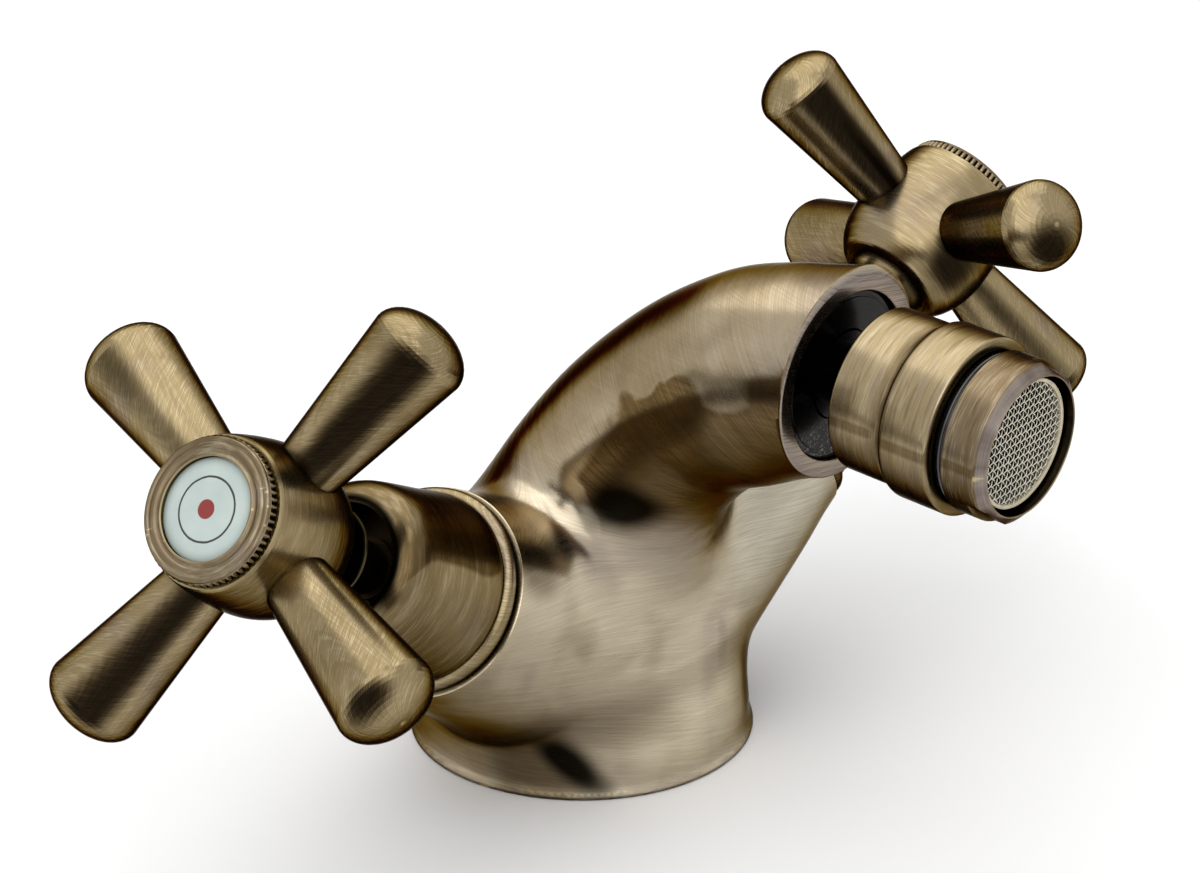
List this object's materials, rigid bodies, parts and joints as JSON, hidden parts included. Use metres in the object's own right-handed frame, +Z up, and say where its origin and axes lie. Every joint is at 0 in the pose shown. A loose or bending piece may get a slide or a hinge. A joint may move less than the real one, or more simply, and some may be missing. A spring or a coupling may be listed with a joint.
{
  "type": "bidet_mixer_tap",
  "caption": "Deck-mounted bidet mixer tap in brushed antique bronze: angled cross handles on horned body, short swept spout with ball-jointed swivel aerator",
  "frame": {"origin": "centre of the foot, on the surface that the tap stands on", "axes": "+Z up out of the deck, the spout points to -Y, the hot handle is at -X and the cold handle at +X"},
  "size_m": [0.2102, 0.1163, 0.099],
  "materials": {
    "antique_bronze": "brushed antique bronze plating over brass, darker in the recesses",
    "polished_bronze": "fine turned and polished",
    "brass": "plain machined brass",
    "steel": "stainless steel",
    "rubber": "black nitrile rubber",
    "ivory_plastic": "ivory acetal plastic",
    "ceramic_disc": "lapped alumina",
    "porcelain": "glazed pale grey-green porcelain"
  },
  "bodies": {
    "tap_body": {"body": "antique_bronze", "base_seal": "rubber", "outlet_insert": "polished_bronze", "insert_seal": "rubber", "ball_stud": "polished_bronze", "shroud_hot": "antique_bronze", "headwork_hot": "brass", "headwork_washer_hot": "rubber", "fixed_disc_hot": "ceramic_disc", "valve_seal_hot": "rubber", "shroud_cold": "antique_bronze", "headwork_cold": "brass", "headwork_washer_cold": "rubber", "fixed_disc_cold": "ceramic_disc", "valve_seal_cold": "rubber"},
    "hot_handle": {"cross_handle_hot": "antique_bronze", "index_ring_hot": "antique_bronze", "index_disc_hot": "porcelain", "handle_screw_hot": "steel", "spindle_hot": "brass", "spindle_clip_hot": "steel", "spindle_seals_hot": "rubber", "moving_disc_hot": "ceramic_disc"},
    "cold_handle": {"cross_handle_cold": "antique_bronze", "index_ring_cold": "antique_bronze", "index_disc_cold": "porcelain", "handle_screw_cold": "steel", "spindle_cold": "brass", "spindle_clip_cold": "steel", "spindle_seals_cold": "rubber", "moving_disc_cold": "ceramic_disc"},
    "swivel_seat": {"ball_seat": "ivory_plastic"},
    "aerator": {"swivel_ring": "antique_bronze", "swivel_housing": "antique_bronze", "aerator_body": "antique_bronze", "aerator_cartridge": "ivory_plastic", "outlet_screen": "steel", "aerator_washer": "rubber", "aerator_seal": "rubber"}
  },
  "joints": [
    {"name": "hot_handle_turn", "type": "hinge", "parent": "tap_body", "child": "hot_handle", "pos_m": [-0.08083, -0.00878, 0.0659], "axis": [-0.8338, -0.0906, 0.5446], "range_deg": [0, 90]},
    {"name": "cold_handle_turn", "type": "hinge", "parent": "tap_body", "child": "cold_handle", "pos_m": [0.08083, -0.00878, 0.0659], "axis": [0.8338, -0.0906, 0.5446], "range_deg": [-90, 0]},
    {"name": "aerator_spin", "type": "hinge", "parent": "tap_body", "child": "swivel_seat", "pos_m": [0, -0.06543, 0.07557], "axis": [0, -0.9981, -0.061], "continuous": true},
    {"name": "aerator_tilt", "type": "hinge", "parent": "swivel_seat", "child": "aerator", "pos_m": [0, -0.06543, 0.07557], "axis": [1, 0, 0], "range_deg": [-20, 20]}
  ]
}
